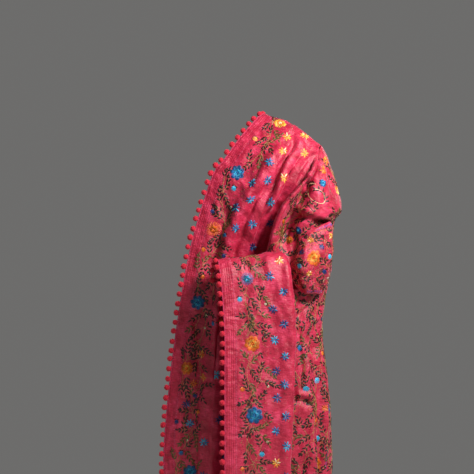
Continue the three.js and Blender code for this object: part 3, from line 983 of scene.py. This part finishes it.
def panel_seeds(work, vine_edge, outer_edge):
    """Seeds close together round the vine and sparse outside it."""
    length = work.stretch.length
    seeds(work, (34, vine_edge, 10, length), 1100, VINE_THREADS)
    seeds(work, (100, outer_edge, 10, length), 120, VINE_THREADS)


FRONT_MOTIFS = [
    ("blossom", "blue", 38, (48, 194), (42, 523), (68, 936)),
    ("blossom", "orange", 36, (42, 688), (52, 1090)),
    ("blossom", "yellow", 34, (58, 22)),
    ("sunburst", "orange", 42, (44, 342)),
    ("bud", "turquoise", 17, (64, 226), (40, 1010)),
    ("bud", "yellow", 17, (34, 88)),
    ("bud", "navy", 15, (30, 300), (70, 745), (92, 388), (30, 812)),
    ("bud", "orange", 15, (32, 388), (84, 782), (44, 452), (80, 1030)),
    ("bud", "blue", 15, (82, 338), (46, 885), (92, 560)),
    ("star", "blue", 24, (108, 133), (132, 174), (98, 198), (88, 271), (154, 288), (106, 317)),
    ("star", "turquoise", 24, (122, 234), (176, 214), (64, 819), (110, 860), (132, 690)),
    ("star", "navy", 23, (202, 267), (172, 350), (50, 774), (146, 620), (150, 800)),
    ("star", "yellow", 24, (98, 50), (120, 92), (166, 62), (186, 150), (128, 15), (196, 62)),
    ("star", "orange", 20, (76, 648), (88, 703), (62, 722), (110, 440), (120, 560)),
    ("sequin", "sequin", 6, (72, 278), (70, 551), (74, 582), (110, 500), (60, 860)),
]


def embroider_front(work):
    plain_border(work)
    work.plain = 22  # the vine comes closer to this edge
    sew(work, FRONT_MOTIFS)
    star_columns(work, (180, 215, 250), 420, ("blue", "turquoise", "navy"), pitch=78)
    star_columns(work, (112, 146), 940, ("blue", "yellow"), pitch=78)
    vine(work, 6, phase=52, line=52, swing=20, pitch=236)
    vine(work, 420, phase=170, line=64, swing=14, pitch=236, spacing=12)
    panel_seeds(work, vine_edge=105, outer_edge=260)


def embroider_back(work):
    plain_border(work)
    for k, down in enumerate(np.arange(100, work.stretch.length, VINE_PITCH)):
        blossom(work, 58, down, 38, ("orange", "blue")[k % 2])
        bud(work, 88, down + 45, 15, ("turquoise", "navy")[k % 2])
        bud(work, 40, down + 92, 15, ("orange", "blue")[k % 2])
    star_columns(work, (115, 143, 171, 202, 236), 40, ("blue", "yellow", "turquoise"), pitch=74)
    vine(work, 6, phase=57)
    panel_seeds(work, vine_edge=105, outer_edge=260)


FOREARM_MOTIFS = [
    ("sunburst", "blue", 36, (62, 160)),
    ("blossom", "orange", 42, (66, 317), (72, 700)),
    ("blossom", "blue", 44, (72, 490), (70, 875)),
    ("bud", "turquoise", 17, (40, 200), (92, 577), (46, 770)),
    ("bud", "orange", 15, (42, 420), (42, 612), (90, 800)),
    ("star", "blue", 23, (118, 158), (150, 193), (150, 349), (148, 417), (150, 494)),
    ("star", "blue", 23, (126, 530), (128, 680)),
    ("star", "turquoise", 23, (122, 309), (154, 567), (152, 716), (128, 826)),
    ("star", "navy", 23, (120, 234), (148, 270), (128, 385), (130, 449), (150, 640)),
    ("star", "navy", 23, (126, 752), (150, 790)),
    ("star", "yellow", 23, (152, 124), (126, 607), (148, 870)),
    ("sequin", "sequin", 6, (102, 222), (106, 421), (104, 555)),
]


def embroider_forearm(work):
    plain_border(work)
    sew(work, FOREARM_MOTIFS)
    vine(work, 6, phase=84, line=66, swing=13)
    vine(work, 30, phase=0, line=72, spacing=10)
    panel_seeds(work, vine_edge=104, outer_edge=210)


ARM_MOTIFS = [
    ("star", "orange", 23, (92, 66), (40, 40)),
    ("star", "yellow", 22, (52, 120)),
    ("blossom", "blue", 21, (118, 101), (52, 250)),
    ("blossom", "navy", 21, (166, 233)),
    ("blossom", "orange", 22, (190, 257), (110, 290)),
    ("bud", "orange", 18, (258, 196)),
]
RING_CENTRE = np.array([146, 128])
RING_RADIUS = 26


def embroider_arm(work):
    length, width = work.stretch.length, work.stretch.widths.max()
    sew(work, ARM_MOTIFS)
    ring = []
    for angle in np.linspace(-2.0, 4.6, 40):
        radius = RING_RADIUS * (1 if angle < 2 else 1 - 0.24 * (angle - 2))  # its end curls inwards
        ring.append(RING_CENTRE + radius * heading(angle))
    strand(work, ring, "cream", width=1.9, rise=1.2)
    leaves_along(work, ring[:8], spacing=8)
    leaves_along(work, ring[24:], spacing=8)
    work.taken.append((*RING_CENTRE, RING_RADIUS + 4))
    for line, start, swing in ((210, 10, 5), (172, 170, 9), (88, 180, 10), (36, 60, 9), (236, 10, 3)):
        vine(work, start, phase=line, line=line, swing=swing, pitch=120, spacing=14)
    seeds(work, (5, width, 5, length), 700, VINE_THREADS)


SIDE_MOTIFS = [
    ("bud", "blue", 18, (28, 106), (148, 146), (30, 560)),
    ("bud", "turquoise", 20, (140, 258), (72, 254), (88, 394), (120, 640)),
    ("blossom", "orange", 40, (94, 462), (60, 650)),
    ("blossom", "blue", 34, (36, 330), (110, 770)),
    ("bud", "orange", 15, (40, 190), (112, 350)),
    ("star", "orange", 18, (66, 330), (136, 540), (40, 740)),
]


def embroider_side(work):
    length, width = work.stretch.length, work.stretch.widths.max()
    sew(work, SIDE_MOTIFS)
    # Vines close together over the whole side: the leafy pattern, made denser as painted shade for the
    # shadow under the elbow fold.
    for k, line in enumerate(np.arange(18, width, 36)):
        vine(work, 5, phase=k * 71, line=line, swing=12, pitch=150, spacing=10)
    seeds(work, (0, width, 5, length), 1300, (*VINE_THREADS, "orange"))
    zigzag(work, [(62, d) for d in np.arange(422, 482, 5.0)], 7, 3, "violet")


ELBOW_FLOWER = (84, 74)
ELBOW_FLOWER_RADIUS = 21
FLOWER_SPRIGS = 12  # round that flower
LOOSE_SPRIGS = 150  # tried at random places, and left out where there is no room
ELBOW_THREADS = ("orange", "stem", "leaf", "olive", "leaf", "rose", "olive", "leaf", "rust")
ELBOW_MOTIFS = [
    ("blossom", "orange", 2 * ELBOW_FLOWER_RADIUS, ELBOW_FLOWER),
    ("bud", "turquoise", 17, (38, 72), (140, 66)),
    ("bud", "navy", 19, (110, 98), (108, 44), (44, 30), (160, 112)),
    ("star", "yellow", 16, (76, 26), (136, 30), (56, 110)),
    ("sequin", "sequin", 7, (114, 122), (96, 127), (122, 112)),
]


def embroider_elbow(work):
    length, width = work.stretch.length, work.stretch.widths.max()
    for down, first in ((7, width * 0.45), (length - 7, width * 0.12)):
        zigzag(work, [(a, down) for a in np.arange(first, width, 5.0)], 8, 3.2, "violet")
    sew(work, ELBOW_MOTIFS)
    for k in range(FLOWER_SPRIGS):
        angle = 2 * math.pi * k / FLOWER_SPRIGS
        sprig(work, ELBOW_FLOWER + ELBOW_FLOWER_RADIUS * heading(angle), angle, 28, (-1) ** k * 0.9)
    for _ in range(LOOSE_SPRIGS):
        place = (work.random.uniform(14, width - 14), work.random.uniform(14, length - 14))
        sprig(work, place, work.random.uniform(0, 2 * math.pi), 20, work.random.uniform(-1, 1))
    seeds(work, (4, width, 10, length - 10), 2600, ELBOW_THREADS)


# Materials

def colour(code):
    """Linear RGBA from an sRGB code such as "c92f58"."""
    values = [int(code[k:k + 2], 16) / 255 for k in (0, 2, 4)]
    return [v / 12.92 if v <= 0.04045 else ((v + 0.055) / 1.055) ** 2.4 for v in values] + [1]


class Shader:
    """A material's nodes, with short ways to add to them."""

    def __init__(self, name):
        self.material = bpy.data.materials.new(name)
        self.material.use_nodes = True
        self.tree = self.material.node_tree
        self.surface = self.tree.nodes["Principled BSDF"]

    def node(self, kind, **inputs):
        made = self.tree.nodes.new(kind)
        for name, value in inputs.items():
            self.put(made, name.replace("_", " "), value)
        return made

    def put(self, node, name, value):
        if isinstance(value, bpy.types.NodeSocket):
            self.tree.links.new(value, node.inputs[name])
        else:
            node.inputs[name].default_value = value

    def set(self, **inputs):
        for name, value in inputs.items():
            self.put(self.surface, name.replace("_", " "), value)

    def noise(self, place, scale, stretch=(1, 1, 1), detail=3):
        mapped = self.node("ShaderNodeMapping", Vector=place, Scale=stretch).outputs[0]
        made = self.node("ShaderNodeTexNoise", Vector=mapped, Scale=scale, Detail=detail, Roughness=0.55)
        return made.outputs["Fac"]

    def ramp(self, factor, stops):
        made = self.node("ShaderNodeValToRGB", Fac=factor)
        elements = made.color_ramp.elements
        while len(elements) < len(stops):
            elements.new(0.5)
        for element, (position, shade) in zip(elements, stops):
            element.position = position
            element.color = shade
        return made.outputs["Color"]

    def bump(self, height, depth, under=None):
        made = self.node("ShaderNodeBump", Height=height, Distance=depth, Strength=1.0)
        if under is not None:
            self.put(made, "Normal", under)
        return made.outputs["Normal"]


def silk_material():
    """Slubbed raw silk: fine weft threads of uneven thickness, a satin sheen and a soft crumple."""
    shader = Shader("silk")
    place_map = shader.node("ShaderNodeUVMap")
    place_map.uv_map = "cloth"
    place = place_map.outputs["UV"]
    slub = shader.noise(place, 60, stretch=(1, 14, 1), detail=4)
    threads = shader.noise(place, 220, stretch=(1, 6, 1), detail=2)
    dents = shader.noise(place, 120, detail=5)
    blotch = shader.noise(place, 26, detail=5)
    mix = shader.node("ShaderNodeMix", Factor=0.5)
    mix.data_type = "FLOAT"
    shader.put(mix, "A", slub)
    shader.put(mix, "B", blotch)
    shade = shader.ramp(mix.outputs[0], [
        (0.34, colour("880b27")), (0.5, colour("b8193b")), (0.66, colour("e4416a")),
    ])
    normal = shader.bump(dents, 0.002)
    normal = shader.bump(slub, 0.0005, normal)
    normal = shader.bump(threads, 0.0003, normal)
    rough = shader.ramp(slub, [(0.3, (0.36, 0.36, 0.36, 1)), (0.7, (0.56, 0.56, 0.56, 1))])
    shader.set(Base_Color=shade, Roughness=rough, Normal=normal)
    shader.set(Sheen_Weight=0.38, Sheen_Roughness=0.35, Sheen_Tint=colour("ffa4bc"))
    return shader.material


def two_tone_material(name, dark, light, scale, detail=3, spread=0.15, bump=None, **settings):
    """Two shades mixed by noise in space. bump is another noise's scale and detail and its depth in
    metres."""
    shader = Shader(name)
    place = shader.node("ShaderNodeTexCoord").outputs["Object"]
    stops = [(0.5 - spread, colour(dark)), (0.5 + spread, colour(light))]
    shader.set(Base_Color=shader.ramp(shader.noise(place, scale, detail=detail), stops), **settings)
    if bump:
        scale, detail, depth = bump
        shader.set(Normal=shader.bump(shader.noise(place, scale, detail=detail), depth))
    return shader.material


def thread_material(name, dark, light):
    """Glossy embroidery thread, a little uneven in colour along the work."""
    return two_tone_material(name + " thread", dark, light, 260, bump=(1500, 2, 0.0003), Roughness=0.42)


def pompom_material():
    """Fluffy cotton yarn in two reds that a fine noise mixes at random."""
    return two_tone_material(
        "pompom yarn", "a00824", "e01c3c", 1100, detail=4, bump=(1100, 4, 0.0008), Roughness=0.95,
        Sheen_Weight=0.4, Sheen_Roughness=0.5, Sheen_Tint=colour("ff7a80"),
    )


def tape_material():
    """Woven cotton tape in the cloth's pink."""
    return two_tone_material(
        "tape", "a81642", "cf3661", 700, detail=2, bump=(700, 2, 0.0003), Roughness=0.7
    )


def sequin_material():
    return two_tone_material(
        "sequin", "e3d2a0", "fbf6e6", 90, spread=0.2, Metallic=0.5, Roughness=0.25
    )


def floor_material():
    return two_tone_material("floor", "cfcdc8", "d6d4cf", 3, detail=2, spread=0.2, Roughness=0.8)


THREAD_CODES = {  # the darker and the lighter shade
    "blue": ("08447c", "1682ba"),
    "turquoise": ("1286b0", "40bcdc"),
    "navy": ("0c1e50", "183a7c"),
    "orange": ("cc4c0c", "ea8420"),
    "yellow": ("cc821c", "eab648"),
    "cream": ("d6b678", "f5e6b8"),
    "leaf": ("1c0a08", "38170f"),
    "olive": ("3d3013", "6b5524"),
    "stem": ("7d6332", "b89b5c"),
    "violet": ("3d2f86", "6d62bd"),
    "rose": ("b8305a", "e0688c"),
    "rust": ("8c2416", "c04a22"),
}
SILK = silk_material()
POMPOM = pompom_material()
TAPE = tape_material()
THREADS = {name: thread_material(name, *codes) for name, codes in THREAD_CODES.items()}
THREADS["sequin"] = sequin_material()


# Pompoms

TUFT_COUNT = 90
TUFT_SPREAD = 0.16  # the angle over which a tuft falls away


def pompom_shape(seed):
    """A ball of yarn tufts, as its points at radius 1 and its faces."""
    made = bmesh.new()
    bmesh.ops.create_icosphere(made, subdivisions=4, radius=1)
    points = np.array([v.co for v in made.verts])
    faces = np.array([[v.index for v in f.verts] for f in made.faces])
    made.free()
    random = np.random.default_rng(seed)
    tufts = unit(random.normal(size=(TUFT_COUNT, 3)))
    nearest = (points @ tufts.T).max(axis=1)
    bulge = np.exp(-((np.arccos(np.clip(nearest, -1, 1)) / TUFT_SPREAD) ** 2))
    return points * (0.86 + 0.15 * bulge)[:, None], faces


def spin(random):
    """A random rotation."""
    matrix, _ = np.linalg.qr(random.normal(size=(3, 3)))
    return matrix * np.sign(np.linalg.det(matrix))


def trim_piece(name, stretch, seed):
    """The tape beside the stretch's first column, with its pompoms."""
    edge, normal = stretch.points[:, 0], stretch.normals[:, 0]
    away = unit(np.cross(np.gradient(edge, axis=0), normal))
    away *= np.sign(((edge - stretch.points[:, 3]) * away).sum(axis=-1, keepdims=True))
    near, far, lift = away * TAPE_GAP, away * (TAPE_GAP + TAPE_WIDTH), normal * TAPE_THICKNESS / 2
    corners = [edge + near - lift, edge + near + lift, edge + far + lift, edge + far - lift]
    points = [np.stack(corners, axis=1).reshape(-1, 3)]
    count = 4 * len(edge)
    faces = [face for first in range(0, count - 4, 4) for face in band(first, first + 4, 4)]
    faces += [(3, 2, 1, 0), tuple(range(count - 4, count))]
    materials = [1] * len(faces)

    line = edge + away * (TAPE_GAP + TAPE_WIDTH + POMPOM_RADIUS - POMPOM_SINK)
    length = distances(line)[-1]
    number = round(length / POMPOM_PITCH)
    random = np.random.default_rng(seed)
    shapes = [pompom_shape(k) for k in range(3)]
    for k in range(number):
        centre = places_at(line, length * (k + 0.5) / number + random.uniform(-1.8, 1.8))
        shape, triangles = shapes[k % len(shapes)]
        size = POMPOM_RADIUS * random.uniform(0.98, 1.12) * random.uniform(0.92, 1.08, 3)
        points.append(centre + random.uniform(-0.8, 0.8, 3) + shape * size @ spin(random).T)
        faces += (triangles + count).tolist()
        materials += [0] * len(triangles)
        count += len(shape)
    return mesh_piece(name, np.concatenate(points), faces, [POMPOM, TAPE], materials)


# The pieces

STRETCHES = {  # the solid that each stands for, its stitching and its cloth
    "front": (
        "front_fall", embroider_front,
        Stretch(front_surface, 1, FRONT_FOLDS, FRONT_CREASES, bordered=True),
    ),
    "back": (
        "back_fall", embroider_back,
        Stretch(back_surface, -1, BACK_FOLDS, BACK_CREASES, bordered=True, seams=("last",)),
    ),
    "arm": (
        "arm_wrap", embroider_arm,
        Stretch(arm_surface, -1, (), ARM_CREASES, hemmed=False, seams=("first",)),
    ),
    "side": (
        "side_fall", embroider_side,
        Stretch(side_surface, -1, SIDE_FOLDS, SIDE_CREASES, seams=("first", "last")),
    ),
    "forearm": (
        "forearm_fall", embroider_forearm,
        Stretch(forearm_surface, 1, FOREARM_FOLDS, FOREARM_CREASES, bordered=True, seams=("last",)),
    ),
    "elbow": (
        "elbow_fold", embroider_elbow,
        Stretch(elbow_surface, 1, (), ELBOW_CREASES, hemmed=False),
    ),
}
for number, (name, (node, embroider, stretch)) in enumerate(STRETCHES.items()):
    cloth = cloth_piece(name + "_cloth", stretch)
    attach(cloth, "root")
    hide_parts(node)
    work = Needlework(stretch, seed=10 + number)
    embroider(work)
    stitches = work.piece(name + "_embroidery")
    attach(stitches, "root")
    if stretch.bordered:
        trim = trim_piece(name + "_trim", stretch, seed=30 + number)
        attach(trim, "root")
        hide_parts(name + "_pompoms")


# The stage

FLOOR_RADIUS = 1800
FLOOR_CENTRE = -0.15  # across, in metres
FLOOR_GAP = 0.006  # below the hems, in metres


def make_floor():
    made = bmesh.new()
    bmesh.ops.create_circle(made, cap_ends=True, segments=96, radius=FLOOR_RADIUS * MM)
    mesh = bpy.data.meshes.new("floor")
    made.to_mesh(mesh)
    made.free()
    mesh.materials.append(floor_material())
    floor = bpy.data.objects.new("floor", mesh)
    floor.location = (FLOOR_CENTRE, 0, cad_box[0][2] - FLOOR_GAP)
    bpy.context.scene.collection.objects.link(floor)


def look_from(thing, place, target):
    thing.location = place
    direction = target - np.array(place)
    turn = math.atan2(direction[1], direction[0]) - math.pi / 2
    rise = math.atan2(direction[2], math.hypot(direction[0], direction[1]))
    thing.rotation_euler = (math.pi / 2 + rise, 0, turn)


def around(target, azimuth, elevation, distance):
    """A place seen from the front and turned to the wearer's left by azimuth, in metres."""
    a, e = math.radians(azimuth), math.radians(elevation)
    way = np.array([math.sin(a) * math.cos(e), -math.cos(a) * math.cos(e), math.sin(e)])
    return target + way * distance


CAMERA_AZIMUTH = 20
CAMERA_DISTANCE = 4.0
VIEW_WIDTH = 1.185  # what the picture spans at the wearer, in metres
SENSOR = 36
WORLD_STRENGTH = 0.17
PHOTO_CENTRE = np.array([-0.1476, 0.0034, -0.2797])  # what the camera looks at, in metres
LIGHTS = {  # azimuth and elevation in degrees, distance and width in metres, power in watts
    "key": (60, 31, 1.65, 0.34, 41),
    "left": (-115, 25, 3, 1.5, 30),
    "back": (165, 20, 3.2, 1.4, 22),
    "front": (10, 8, 3.3, 1.4, 2),
}


def make_camera():
    data = bpy.data.cameras.new("camera")
    data.sensor_width = SENSOR
    data.lens = SENSOR * CAMERA_DISTANCE / VIEW_WIDTH
    camera = bpy.data.objects.new("camera", data)
    look_from(camera, around(PHOTO_CENTRE, CAMERA_AZIMUTH, 0, CAMERA_DISTANCE), PHOTO_CENTRE)
    bpy.context.scene.collection.objects.link(camera)
    bpy.context.scene.camera = camera


def make_lights():
    for name, (azimuth, elevation, distance, width, power) in LIGHTS.items():
        data = bpy.data.lights.new(name, "AREA")
        data.size = width
        data.energy = power
        light = bpy.data.objects.new(name, data)
        light.visible_camera = False
        look_from(light, around(PHOTO_CENTRE, azimuth, elevation, distance), PHOTO_CENTRE)
        bpy.context.scene.collection.objects.link(light)
    world = bpy.data.worlds.new("studio")
    world.use_nodes = True
    background = world.node_tree.nodes["Background"]
    background.inputs["Color"].default_value = (0.9, 0.89, 0.87, 1)
    background.inputs["Strength"].default_value = WORLD_STRENGTH
    bpy.context.scene.world = world


make_floor()
make_camera()
make_lights()
bpy.context.scene.view_settings.view_transform = "Standard"
